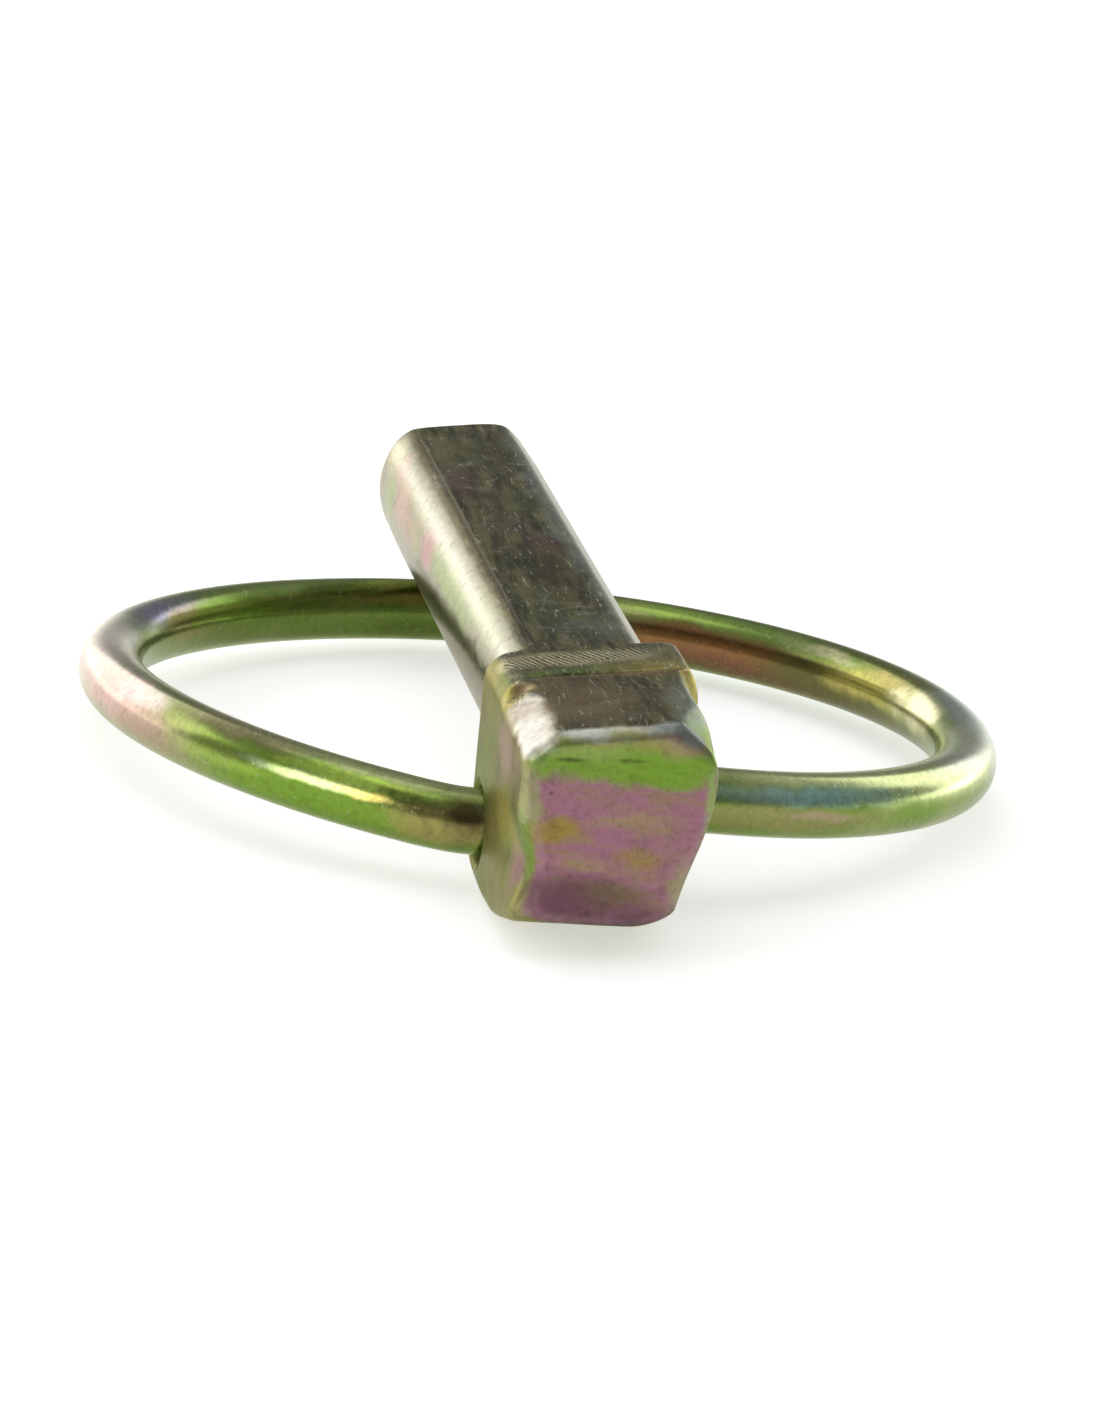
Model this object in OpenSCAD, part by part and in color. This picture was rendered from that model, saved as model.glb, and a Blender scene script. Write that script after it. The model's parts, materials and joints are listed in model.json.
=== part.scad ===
// Lynch pin: a forged steel pin with a spring ring that swings on its head.
// The shaft runs along +Y from the head's shoulder, which lies at y = 0, and its
// axis is the Y axis. The closed ring passes under the shaft. The part lies level on
// the belly of its head, and tips by less than a degree to rest on the ring as well.

/* [Shaft] */
// Diameter of the round shaft
shaft_d = 10.5; // [8.6:0.1:12.6]
// Length of the shaft past the closed ring
tip_over = 2.15; // [1.5:0.05:6]
// Depth of the flat pressed along the shaft and the top of the head
flat_depth = 1.2; // [0.6:0.05:1.5]
// Turn of the flat about the shaft, away from the head's upright
flat_turn = 7; // [0:0.5:10]
// Size of the broken edge round the tip
tip_edge = 0.7; // [0.4:0.1:1.5]
// Drop in the shaft's radius at the tip, as a lead-in that starts short of the closed ring
tip_ease = 0.1; // [0.05:0.05:0.3]
// Straight shaft left clear in front of the closed ring
ring_margin = 0.5; // [0.3:0.1:2]

/* [Head] */
// Length of the head from the shoulder to the front face
head_len = 17.5; // [14.5:0.1:21]
// Width of the shoulder on each side of the shaft
side_shoulder = 0.75; // [0.5:0.05:1.5]
// Step in the right side, from the band that holds the ring in to the block
block_step = 0.6; // [0.2:0.1:1]
// Rise of the belly towards the front face
front_rise = 2.4; // [1.5:0.1:3]
// Rise of the belly towards the shoulder
heel_rise = 1.3; // [0.8:0.1:1.6]
// Bevel along the upper corners of the block
block_bevel = 1.8; // [1:0.1:2.2]
// Bevel along the upper corners of the band and the lower corners of the head
band_bevel = 0.8; // [0.4:0.1:1]
// Depth of the waist pressed into the left side of the front face
left_waist = 1.1; // [0.6:0.1:1.5]
// Depth of the wide waist pressed into the right side of the front face
right_waist = 2.2; // [1.4:0.1:2.4]

/* [Cross holes] */
// Clearance round the end of the wire, beyond the room that its lean takes
hole_clear = 0.25; // [0.2:0.05:0.4]
// Depth of each blind hole
hole_depth = 3.6; // [3:0.1:4.3]
// Wall between the holes and the shoulder
rear_wall = 0.5; // [0.4:0.1:1.2]
// Length of the band in front of the holes
front_wall = 0.3; // [0.2:0.1:1]
// Depth below the shaft's axis of the point midway between the holes
hole_drop = 5.15; // [4.3:0.05:5.8]

/* [Ring] */
// Diameter of the spring wire
wire_d = 4; // [3.3:0.1:4.8]
// Radius of the ring, to the middle of its wire
ring_r = 26.85; // [22.4:0.05:32.2]
// Air between the closed ring and the shaft above it
ring_air = 0.35; // [0.3:0.05:2]
// Turn of the ring about the shaft, away from the head's upright
ring_turn = 3.2; // [0:0.2:5]
// Turn of the ring about the upright
ring_yaw = 3.6; // [0:0.2:4]
// Rise of the far half of the ring towards its right-hand side, as an angle
arc_rise = 2.8; // [2:0.1:3.2]
// Twist of the wire on each side of the far point
far_twist = 0.8; // [0:0.1:1.2]
// Straight wire between the side of the head and the bend at each end
end_straight = 0.5; // [0.5:0.1:0.8]
// Clearance between each end of the wire and the floor of its hole
end_gap = 0.4; // [0.3:0.1:0.8]

/* [Hidden] */
$fn = 96;
chromate = [0.62, 0.60, 0.34];
ring_chromate = [0.50, 0.58, 0.24];

shaft_r = shaft_d / 2;
flat_h = shaft_r - flat_depth;
wire_r = wire_d / 2;

// The block is flush with the band on the left and set back on the right.
half_band = shaft_r + side_shoulder;
block_left = -half_band;
block_right = half_band - block_step;

// A wire frame is [point, direction along the wire, direction to the bend's centre].
// The ring's own frame has its origin midway between the holes and +Y to the far point.
function bent(f, r, a) = [
    f[0] + r * sin(a) * f[1] + r * (1 - cos(a)) * f[2],
    cos(a) * f[1] + sin(a) * f[2],
    cos(a) * f[2] - sin(a) * f[1]
];
function twisted(f, a) = [f[0], f[1], cos(a) * f[2] + sin(a) * cross(f[1], f[2])];

// The right half runs from the far point round to the bend beside the head.
side_bend = 90;
side_twist = -2 * arc_rise;
near_bend = 90 - asin((half_band + end_straight) / ring_r);
far_start = [[0, 0, 0], [cos(arc_rise), 0, sin(arc_rise)], [0, -1, 0]];
far_frame = twisted(far_start, far_twist);
side_frame = twisted(bent(far_frame, ring_r, side_bend), side_twist);
elbow = bent(side_frame, ring_r, near_bend)[0];

// The ring swings about the line through both of its elbows.
far_y = -elbow[1];
hinge_rise = atan2(elbow[2], elbow[0]);
elbow_reach = norm([elbow[0], elbow[2]]);

// The closed ring tilts down far enough to pass under the shaft.
ring_tilt = asin((shaft_r + ring_air + wire_r - hole_drop) / far_y);

// Direction of the hinge line after each of the ring's three turns.
tilted = [cos(hinge_rise), sin(hinge_rise) * sin(ring_tilt), sin(hinge_rise) * cos(ring_tilt)];
turned = [
    cos(ring_turn) * tilted.x + sin(ring_turn) * tilted.z, tilted.y,
    cos(ring_turn) * tilted.z - sin(ring_turn) * tilted.x
];
hinge = [
    cos(ring_yaw) * turned.x + sin(ring_yaw) * turned.y,
    cos(ring_yaw) * turned.y - sin(ring_yaw) * turned.x, turned.z
];
end_len = (end_straight + hole_depth - end_gap) / hinge.x;

// The ends lean in their level holes and cross the axes of these at half their depth,
// so the left hole lies lower and nearer the shoulder than the right one.
lean_room = hole_depth / 2 * norm([hinge.y, hinge.z]) / hinge.x;
hole_middle = half_band - hole_depth / 2;
hole_shift = hole_middle * hinge.y / hinge.x;
hole_lift = hole_middle * hinge.z / hinge.x;

// Going forwards from the shoulder, the band is a rear wall, the holes and a front wall.
hole_r = wire_r + lean_room + hole_clear;
hole_back = rear_wall + hole_r + abs(hole_shift);
band_len = hole_back + abs(hole_shift) + hole_r + front_wall;

// The straight shaft that fits a hole ends short of the closed ring, and the tip is past it.
ring_y = far_y * cos(ring_tilt) - hole_back;
grip_len = ring_y - wire_r - ring_margin;
shaft_len = ring_y + wire_r + tip_over;

// The belly lies a little lower than the closed ring.
below_ring = 0.6;
belly_drop = shaft_r + ring_air + wire_d + below_ring;
front_drop = belly_drop - front_rise;
heel_drop = belly_drop - heel_rise;
belly_rise_len = 9;
heel_len = 4.2;

// Each waist is the mark of a round tool that leans outwards as it goes back. Its
// middle stands this far above the lower edge of the front face.
left_waist_r = 2.6;
left_waist_up = 3.6;
left_waist_lean = 9;
right_waist_r = 6;
right_waist_up = 0.8;
right_waist_lean = 14;
waist_len = 12;

// Cutting tools reach this far past what they cut.
past = 1;

// Balls a hair wider than the wire join its stretches.
ball_d = wire_d + 0.02;

// Height of the pressed flat above the shaft's axis, at a distance x to the right.
function flat_z(x) = (flat_h + x * sin(flat_turn)) / cos(flat_turn);

// Round shaft, let into the head, with a slight lead-in and a broken edge at its tip.
module shaft() {
    tip_r = shaft_r - tip_ease;
    rotate([-90, 0, 0])
        rotate_extrude()
            polygon([
                [0, -band_len], [shaft_r, -band_len], [shaft_r, grip_len],
                [tip_r, shaft_len - tip_edge], [tip_r - tip_edge, shaft_len], [0, shaft_len]
            ]);
}

// Everything on the upper side of the pressed flat.
module above_flat() {
    wide = 4 * half_band;
    rotate([0, -flat_turn, 0])
        translate([-wide / 2, -head_len - past, flat_h])
            cube([wide, head_len + shaft_len + 2 * past, belly_drop]);
}

// Stretch of the head with all four long corners bevelled, rising to a ridge
// that the pressed flat cuts away.
module bar(left, right, front, back, bevel) {
    low = -belly_drop;
    left_z = flat_z(left) - bevel;
    right_z = flat_z(right) - bevel;
    ridge_x = (left + right + right_z - left_z) / 2;
    translate([0, back, 0])
        rotate([90, 0, 0])
            linear_extrude(back - front)
                polygon([
                    [left, low + band_bevel], [left + band_bevel, low],
                    [right - band_bevel, low], [right, low + band_bevel],
                    [right, right_z], [ridge_x, left_z + ridge_x - left], [left, left_z]
                ]);
}

// Side view of the head, extruded across it.
module side_view() {
    high = belly_drop;
    rotate([90, 0, 90])
        linear_extrude(4 * half_band, center = true)
            polygon([
                [-head_len, -front_drop], [belly_rise_len - head_len, -belly_drop],
                [-heel_len, -belly_drop], [0, -heel_drop],
                [0, high], [-head_len, high]
            ]);
}

// Waist in the side at x, on the left with side = -1 and on the right with 1.
module waist(side, x, depth, r, up, lean) {
    translate([x + side * (r - depth), -head_len, up - front_drop])
        rotate([0, 0, -side * lean])
            rotate([-90, 0, 0])
                translate([0, 0, -past])
                    cylinder(r = r, h = past + waist_len);
}

module head() {
    difference() {
        intersection() {
            union() {
                bar(-half_band, half_band, -band_len, 0, band_bevel);
                bar(block_left, block_right, -head_len, -band_len + past, block_bevel);
            }
            side_view();
        }
        waist(-1, block_left, left_waist, left_waist_r, left_waist_up, left_waist_lean);
        waist(1, block_right, right_waist, right_waist_r, right_waist_up, right_waist_lean);
    }
}

// Blind hole for one end of the ring, on the left with side = -1.
module ring_hole(side) {
    translate([0, side * hole_shift - hole_back, side * hole_lift - hole_drop])
        rotate([0, side * 90, 0])
            translate([0, 0, half_band - hole_depth])
                cylinder(r = hole_r, h = hole_depth + past);
}

module pin() {
    color(chromate)
        difference() {
            union() {
                head();
                shaft();
            }
            above_flat();
            ring_hole(-1);
            ring_hole(1);
        }
}

// Bend of wire from the origin along +X and round to +Y, with a ball at its end.
module wire_bend(a) {
    translate([0, ring_r, 0])
        rotate([0, 0, -90])
            rotate_extrude(angle = a)
                translate([ring_r, 0])
                    circle(d = wire_d);
    translate([ring_r * sin(a), ring_r * (1 - cos(a)), 0])
        rotate([0, 0, a]) {
            rotate([0, 90, 0])
                sphere(d = ball_d);
            children();
        }
}

// End of the wire, which enters its hole along the hinge line.
module wire_end() {
    rotate([0, 90 - hinge_rise, 0])
        translate([0, 0, elbow_reach - end_len])
            cylinder(d = wire_d, h = end_len);
}

module half_ring() {
    translate([0, far_y, 0])
        rotate([0, -arc_rise, 0])
            rotate([180 + far_twist, 0, 0])
                wire_bend(side_bend)
                    rotate([side_twist, 0, 0])
                        wire_bend(near_bend);
    wire_end();
}

// Closed ring, with its two halves alike under a half turn.
module spring_ring() {
    color(ring_chromate)
        translate([0, -hole_back, -hole_drop])
            rotate([-ring_tilt, ring_turn, -ring_yaw]) {
                half_ring();
                rotate([0, 180, 0])
                    half_ring();
            }
}

pin();
spring_ring();
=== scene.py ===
"""Lynch pin: a forged steel pin and its spring wire ring, both zinc plated and chromated."""
import json
import math

import bmesh
import bpy
import numpy as np
from mathutils import Matrix, Vector


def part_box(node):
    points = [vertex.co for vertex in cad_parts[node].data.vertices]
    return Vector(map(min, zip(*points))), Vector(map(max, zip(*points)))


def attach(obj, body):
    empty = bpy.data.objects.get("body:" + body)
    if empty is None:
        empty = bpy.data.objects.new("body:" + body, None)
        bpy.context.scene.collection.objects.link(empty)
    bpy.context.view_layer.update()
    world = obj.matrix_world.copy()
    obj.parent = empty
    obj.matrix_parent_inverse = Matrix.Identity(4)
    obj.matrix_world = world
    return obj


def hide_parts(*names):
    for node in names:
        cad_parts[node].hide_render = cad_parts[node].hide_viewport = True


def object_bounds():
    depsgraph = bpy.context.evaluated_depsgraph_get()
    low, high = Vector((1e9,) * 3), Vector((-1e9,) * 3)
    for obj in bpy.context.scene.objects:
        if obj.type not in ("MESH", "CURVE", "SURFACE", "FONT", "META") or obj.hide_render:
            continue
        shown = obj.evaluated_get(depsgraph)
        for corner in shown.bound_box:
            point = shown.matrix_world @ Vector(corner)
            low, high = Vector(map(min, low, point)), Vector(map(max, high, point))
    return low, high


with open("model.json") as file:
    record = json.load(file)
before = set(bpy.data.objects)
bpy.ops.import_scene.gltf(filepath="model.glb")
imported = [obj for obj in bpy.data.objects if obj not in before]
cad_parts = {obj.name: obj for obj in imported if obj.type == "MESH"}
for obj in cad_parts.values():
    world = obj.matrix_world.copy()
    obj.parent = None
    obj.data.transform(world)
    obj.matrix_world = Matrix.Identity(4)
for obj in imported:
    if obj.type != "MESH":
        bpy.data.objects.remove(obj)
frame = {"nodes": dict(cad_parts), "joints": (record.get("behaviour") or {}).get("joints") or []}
cad_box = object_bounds()

# ---------------------------------------------------------------------------
# Pin. One forging: a round shaft with a flat pressed along it, and a blocky
# head with a blind hole in each side. Its edges are left soft by the dies, and
# it is zinc plated with an iridescent yellow chromate.
MM = 0.001
low, high = (Vector(corner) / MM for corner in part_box("pin"))
# The shaft runs from the head's rear face, at 0, to its tip. All sizes are in mm.
SHAFT_R = 5.25
SHAFT_LEN = high.y
GRIP_LEN = 47.06
TIP_EASE = 0.1
TIP_ROUND = 1.0
FLAT_H = 4.05
FLAT_TURN = math.radians(7)
FLAT_EDGE = -2.85
FLAT_EDGE_WAY = 112
# The head is a wider band by the shaft, then a block down to the front face.
HEAD_LEN = -low.y
HALF_BAND = -low.x
BAND_LEN = 6.4
BLOCK_RIGHT = 5.4
SIDE_STEP = (5.7, 6.5)
FACET_START = (7.5, 8.3)
FACET_SLANT = 1.1
FACET = (-HALF_BAND, 2.1, 127)
LEFT_BEVEL = 0.8
RIGHT_BEVEL = 0.9
SEAM_Y = -5.85
SEAM_HEIGHT = 0.10
SEAM_WIDTH = 0.25
FRONT_BEVEL = -16.75
BELLY_DROP = -low.z
BELLY_FRONT = (-HEAD_LEN, -7.8, 255.07)
BELLY_REAR = (-4.2, -BELLY_DROP, 287.2)
LEFT_CORNER = (-HALF_BAND, -9.7, 225)
RIGHT_CORNER = (BLOCK_RIGHT, -9.6, 315)
SHOULDER_ROUND = 0.9
# Waists, where the dies drew the block in, and small hollows that the tool left.
LEFT_WAIST = (-8.0, -4.6)
LEFT_WAIST_R = 2.9
LEFT_WAIST_LEAN = math.radians(9)
RIGHT_WAIST = ((5.1, -1.6, -23.7), (3.95, -4.8, -11.3))
RIGHT_WAIST_LEAN = math.radians(14)
POCKET = ((-6.0, -7.7, 3.75), (1.7, 1.1, 1.05))
NICK = ((5.6, -8.8, 4.45), (0.8, 1.1, 0.9))
# The holes take the ring's ends, and lie a little below its slanting hinge line.
hinge = next(joint for joint in frame["joints"] if joint["name"] == "ring_swing")
HINGE_SPOT = [distance / MM for distance in hinge["pos_m"]]
HINGE_WAY = hinge["axis"]
HOLE_R = 2.59
HOLE_DROP = 0.3
HOLE_FLOOR = 2.4
# Height of the forged skin's slow waves.
SIDE_WAVE = 0.012
TOP_WAVE = 0.015
FRONT_WAVE = 0.008


def rounded_max(a, b, soft):
    """Larger of two distances, with the edge between them rounded over soft."""
    near = np.maximum(soft - np.abs(a - b), 0) / soft
    return np.maximum(a, b) + near * near * soft / 4


def rounded_min(a, b, soft):
    return -rounded_max(-a, -b, soft)


def step(a, low, high):
    """0 below low, 1 above high, and smooth between them."""
    t = np.clip((a - low) / (high - low), 0, 1)
    return t * t * (3 - 2 * t)


def plane(u, v, u0, v0, angle):
    """Distance outside a plane through (u0, v0) that faces the way of angle, in degrees."""
    turn = math.radians(angle)
    return (u - u0) * math.cos(turn) + (v - v0) * math.sin(turn)


def flat_distance(x, z):
    """Distance above the pressed flat."""
    return z * math.cos(FLAT_TURN) - x * math.sin(FLAT_TURN) - FLAT_H


def flat_z(x):
    """Height of the pressed flat at x."""
    return (FLAT_H + x * math.sin(FLAT_TURN)) / math.cos(FLAT_TURN)


def scoop(x, y, z, centre, size):
    """Distance outside a small hollow left by the tool."""
    q = [(p - c) / s for p, c, s in zip((x, y, z), centre, size)]
    return (np.sqrt(q[0] ** 2 + q[1] ** 2 + q[2] ** 2) - 1) * min(size)


def ripple(x, y, z):
    """Slow unevenness of the forged skin, from about -1 to 1."""
    swell = np.sin(1.1 * x + 0.7 * y + 0.6) * np.sin(0.8 * z - 0.9 * y + 1.1)
    return swell + 0.6 * np.sin(1.9 * y + 1.3 * z) * np.sin(1.7 * x - 0.8 * z + 0.4)


def head_outline(x, y, z):
    """Distance outside the head's long faces, without its two ends."""
    # Sides, the small bevel along the left and the wider facet in front of the pocket.
    right = HALF_BAND - (HALF_BAND - BLOCK_RIGHT) * step(-y, *SIDE_STEP)
    facet = step(-y - FACET_SLANT * (x + HALF_BAND), *FACET_START)
    small = plane(x, z, -HALF_BAND, flat_z(-HALF_BAND) - LEFT_BEVEL, 135)
    large = plane(x, z, *FACET)
    d = rounded_max(-x - HALF_BAND, small + (large - small) * facet, 0.45)
    drop = RIGHT_BEVEL + 0.3 * step(-y, 6.0, 9.0) + 1.0 * step(-y, 13.5, 17.0)
    upper = plane(x, z, right, flat_z(right) - drop, 45)
    d = rounded_max(d, rounded_max(x - right, upper, 1.1), 0.3)
    # Belly, which rises to both ends, and its bevelled lower corners.
    belly = rounded_max(plane(y, z, *BELLY_FRONT), -z - BELLY_DROP, 1.0)
    belly = rounded_max(belly, plane(y, z, *BELLY_REAR), 0.8)
    corner = rounded_max(plane(x, z, *LEFT_CORNER), plane(x, z, *RIGHT_CORNER), 0.1)
    d = rounded_max(d, rounded_max(belly, corner, 0.5), 0.6)
    # Waists, deepest at the front face.
    across = (x - LEFT_WAIST[0]) * math.cos(LEFT_WAIST_LEAN) + (y + HEAD_LEN) * math.sin(LEFT_WAIST_LEAN)
    d = rounded_max(d, LEFT_WAIST_R - np.hypot(across, z - LEFT_WAIST[1]), 1.1)
    lean = (y + HEAD_LEN) * math.sin(RIGHT_WAIST_LEAN)
    slant, wall = (plane(x, z, *face) - lean for face in RIGHT_WAIST)
    return rounded_max(d, rounded_min(slant, wall, 0.8), 0.8 + 1.8 * step(-z, 6.0, 8.0))


def pin_surface(x, y, z):
    """Distance outside the pin, in millimetres, near its surface."""
    flat = flat_distance(x, z)
    along_flat = x * math.cos(FLAT_TURN) + z * math.sin(FLAT_TURN)
    rough = ripple(x, y, z)
    sides = SIDE_WAVE * rough + 0.004 * np.sin(2.3 * y + 0.4 * z) * step(-x, 4.5, 5.8)
    head = rounded_max(head_outline(x, y, z) + sides, y, SHOULDER_ROUND)
    head = rounded_max(head, -y - HEAD_LEN + FRONT_WAVE * rough, 0.45 + 0.8 * step(-x, 3.2, 5.4))
    narrowing = TIP_EASE * np.clip((y - GRIP_LEN) / (SHAFT_LEN - GRIP_LEN), 0, 1)
    shaft = rounded_max(np.hypot(x, z) - SHAFT_R + narrowing, y - SHAFT_LEN, TIP_ROUND)
    shaft = rounded_max(shaft, -y - BAND_LEN, 0.3)
    d = rounded_min(head, shaft, 0.5)
    # The pressed top, with its seam, its front bevel and the strip along its left edge.
    seam = SEAM_Y - 0.12 * np.sin(0.6 * x)
    top = flat + SEAM_HEIGHT * np.exp(-(((y - seam) / SEAM_WIDTH) ** 2)) + TOP_WAVE * rough
    top = rounded_max(top, plane(y, flat, FRONT_BEVEL, 0, 127), 0.2)
    strip = plane(along_flat, flat, FLAT_EDGE, 0, FLAT_EDGE_WAY)
    top = rounded_max(top, strip - 2 * step(-y, -0.5, 1.0), 0.08)
    d = rounded_max(d, top, 0.3 + 1.5 * step(x, 2.0, 4.5) * step(-y, 12.5, 16.0))
    for centre, size in (POCKET, NICK):
        d = rounded_max(d, -scoop(x, y, z, centre, size), 0.3)
    hole = np.hypot(
        y - HINGE_SPOT[1] - x * HINGE_WAY[1] / HINGE_WAY[0],
        z - HINGE_SPOT[2] - x * HINGE_WAY[2] / HINGE_WAY[0] + HOLE_DROP,
    ) - HOLE_R
    return rounded_max(d, -np.maximum(hole, HOLE_FLOOR - np.abs(x)), 0.35)


def turning(spots, reach):
    """How sharply the surface turns near each spot, per mm: edges above 0, hollows below."""
    ways = np.vstack([np.eye(3), -np.eye(3)]) * reach
    around = sum(pin_surface(*(spots + way).T) for way in ways)
    return (around - 6 * pin_surface(*spots.T)) / reach ** 2


def apply_modifiers(thing):
    """Turns a piece with modifiers into a plain mesh."""
    evaluated = thing.evaluated_get(bpy.context.evaluated_depsgraph_get())
    finished = bpy.data.meshes.new_from_object(evaluated)
    thing.modifiers.clear()
    old = thing.data
    thing.data = finished
    bpy.data.meshes.remove(old)
    finished.name = thing.name


# The blank is the CAD pin as one closed skin of small, even faces.
SKIN_FACE = 0.2
blank = bmesh.new()
blank.from_mesh(frame["nodes"]["pin"].data)
bmesh.ops.remove_doubles(blank, verts=blank.verts, dist=1e-6)
blank_mesh = bpy.data.meshes.new("forged_pin")
blank.to_mesh(blank_mesh)
blank.free()
forged_pin = bpy.data.objects.new("forged_pin", blank_mesh)
bpy.context.scene.collection.objects.link(forged_pin)
skin = forged_pin.modifiers.new("skin", "REMESH")
skin.mode = "VOXEL"
skin.voxel_size = SKIN_FACE * MM
apply_modifiers(forged_pin)

# Each corner of the skin is pressed onto the finished surface in a few short moves.
MOVES = 6
LONGEST_MOVE = 0.5
NUDGE = 0.01
count = len(forged_pin.data.vertices)
spots = np.empty(count * 3)
forged_pin.data.vertices.foreach_get("co", spots)
spots = spots.reshape(-1, 3) / MM
for _ in range(MOVES):
    here = pin_surface(*spots.T)
    slope = np.stack([pin_surface(*(spots + nudge).T) - here for nudge in np.eye(3) * NUDGE], 1) / NUDGE
    push = here / np.maximum((slope ** 2).sum(1), 0.25)
    spots -= np.clip(push, -LONGEST_MOVE, LONGEST_MOVE)[:, None] * slope
forged_pin.data.vertices.foreach_set("co", (spots * MM).ravel())
forged_pin.data.shade_smooth()
forged_pin.data.update()

# What the plating does depends on where it is, so the mesh carries that as attributes.
EDGE_REACH = 0.35
x, y, z = spots.T
turn = turning(spots, EDGE_REACH)
surface_marks = {
    "edge": step(turn, 0.35, 1.6),
    "hollow": step(-turn, 0.5, 2.0),
    "pressed": step(flat_distance(x, z), -0.35, -0.08),
    "front": step(-y, HEAD_LEN - 0.35, HEAD_LEN - 0.1),
    "rim": step(head_outline(x, y, z), -1.5, -0.35),
    "head": step(-y, -0.3, 0.3),
}
for name, values in surface_marks.items():
    layer = forged_pin.data.attributes.new(name, "FLOAT", "POINT")
    layer.data.foreach_set("value", values.astype(np.float32))


def put(tree, kind, inputs=None, **settings):
    """Adds a node, sets its options, and links or sets each of its inputs."""
    node = tree.nodes.new(kind)
    for name, value in settings.items():
        setattr(node, name, value)
    for socket, source in (inputs or {}).items():
        if isinstance(source, bpy.types.NodeSocket):
            tree.links.new(source, node.inputs[socket])
        else:
            node.inputs[socket].default_value = source
    return node


def math_node(tree, operation, a, b=0.0, clamp=False):
    node = put(tree, "ShaderNodeMath", {0: a, 1: b}, operation=operation, use_clamp=clamp)
    return node.outputs["Value"]


def times(tree, a, b):
    return math_node(tree, "MULTIPLY", a, b)


def plus(tree, a, b, clamp=False):
    return math_node(tree, "ADD", a, b, clamp)


def vector_math(tree, operation, a, b):
    return put(tree, "ShaderNodeVectorMath", {0: a, 1: b}, operation=operation).outputs[0]


def scaled(tree, source, factor):
    node = put(tree, "ShaderNodeVectorMath", {0: source, "Scale": factor}, operation="SCALE")
    return node.outputs[0]


def mix(tree, factor, a, b):
    """Goes from value a to value b as factor goes from 0 to 1."""
    node = put(tree, "ShaderNodeMix", {0: factor, 2: a, 3: b}, data_type="FLOAT")
    return node.outputs[0]


def mix_colour(tree, factor, a, b):
    node = put(tree, "ShaderNodeMix", {0: factor, 6: a, 7: b}, data_type="RGBA")
    return node.outputs[2]


def ramp(tree, value, low, high, low_out=0.0, high_out=1.0):
    """Goes smoothly from low_out to high_out as value goes from low to high."""
    node = put(
        tree, "ShaderNodeMapRange",
        {"Value": value, "From Min": low, "From Max": high, "To Min": low_out, "To Max": high_out},
        interpolation_type="SMOOTHSTEP",
    )
    return node.outputs["Result"]


def noise(tree, place, scale, detail=2.0, roughness=0.5):
    """Cloudy value from 0 to 1, and a colour, whose patches are about 1 / scale across."""
    inputs = {"Vector": place, "Scale": scale, "Detail": detail, "Roughness": roughness}
    return put(tree, "ShaderNodeTexNoise", inputs).outputs


def drawn_noise(tree, place, stretch, scale, detail, roughness):
    """Cloudy value whose patches are longer one way than another."""
    drawn_out = put(tree, "ShaderNodeMapping", {"Vector": place, "Scale": stretch}).outputs[0]
    return noise(tree, drawn_out, scale, detail, roughness)["Fac"]


def fill_ramp(node, marks):
    """Gives a colour ramp its marks, each one a place and a colour."""
    stops = node.color_ramp.elements
    while len(stops) < len(marks):
        stops.new(0.5)
    for stop, (place, colour) in zip(stops, marks):
        stop.position = place
        stop.color = (*colour, 1)


def new_group(name, inputs, outputs, kind="ShaderNodeTree"):
    """Starts a node group from the kinds of its named inputs and outputs."""
    tree = bpy.data.node_groups.new(name, kind)
    for socket, sort in inputs.items():
        tree.interface.new_socket(socket, in_out="INPUT", socket_type="NodeSocket" + sort)
    for socket, sort in outputs.items():
        tree.interface.new_socket(socket, in_out="OUTPUT", socket_type="NodeSocket" + sort)
    return tree, put(tree, "NodeGroupInput").outputs


# Shared effect: the colours that the chromate film takes as it thickens.
film_tree, given = new_group("chromate_film", {"Film": "Float"}, {"Color": "Color"})
film_ramp = put(film_tree, "ShaderNodeValToRGB", {"Fac": given["Film"]})
FILM_COLOURS = (
    (0.00, (0.43, 0.40, 0.32)),
    (0.15, (0.35, 0.33, 0.23)),
    (0.30, (0.45, 0.38, 0.14)),
    (0.42, (0.30, 0.26, 0.08)),
    (0.55, (0.24, 0.25, 0.075)),
    (0.70, (0.16, 0.25, 0.045)),
    (0.85, (0.27, 0.32, 0.11)),
    (1.00, (0.31, 0.16, 0.175)),
)
fill_ramp(film_ramp, FILM_COLOURS)
put(film_tree, "NodeGroupOutput", {"Color": film_ramp.outputs["Color"]})

# Shared effect: wear and darkening. Rubbed places go to bare zinc, and darkened places go to dark brown,
# which is dirt and burnt oil in some places and painted shade in others.
BARE_ZINC = (0.62, 0.62, 0.57, 1)
OIL_AND_SHADE_BROWN = (0.035, 0.028, 0.014, 1)
wear_and_darkening_tree, given = new_group(
    "wear_and_darkening", {"Color": "Color", "Bare": "Float", "Darkening": "Float"}, {"Color": "Color"}
)
rubbed = mix_colour(wear_and_darkening_tree, given["Bare"], given["Color"], BARE_ZINC)
darkened = mix_colour(wear_and_darkening_tree, given["Darkening"], rubbed, OIL_AND_SHADE_BROWN)
put(wear_and_darkening_tree, "NodeGroupOutput", {"Color": darkened})

# Shared effect: one soft-edged patch, as strong as given in its middle and 0 outside.
patch_tree, given = new_group(
    "soft_patch",
    {"Place": "Vector", "Centre": "Vector", "Size": "Vector", "Softness": "Float", "Strength": "Float"},
    {"Mask": "Float"},
)
shift = vector_math(patch_tree, "SUBTRACT", given["Place"], given["Centre"])
shrunk = vector_math(patch_tree, "DIVIDE", shift, given["Size"])
reach = put(patch_tree, "ShaderNodeVectorMath", {0: shrunk}, operation="LENGTH").outputs["Value"]
outer = plus(patch_tree, 1.0, given["Softness"])
inner = math_node(patch_tree, "SUBTRACT", 1.0, given["Softness"])
put(patch_tree, "NodeGroupOutput", {"Mask": ramp(patch_tree, reach, outer, inner, 0.0, given["Strength"])})

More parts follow.
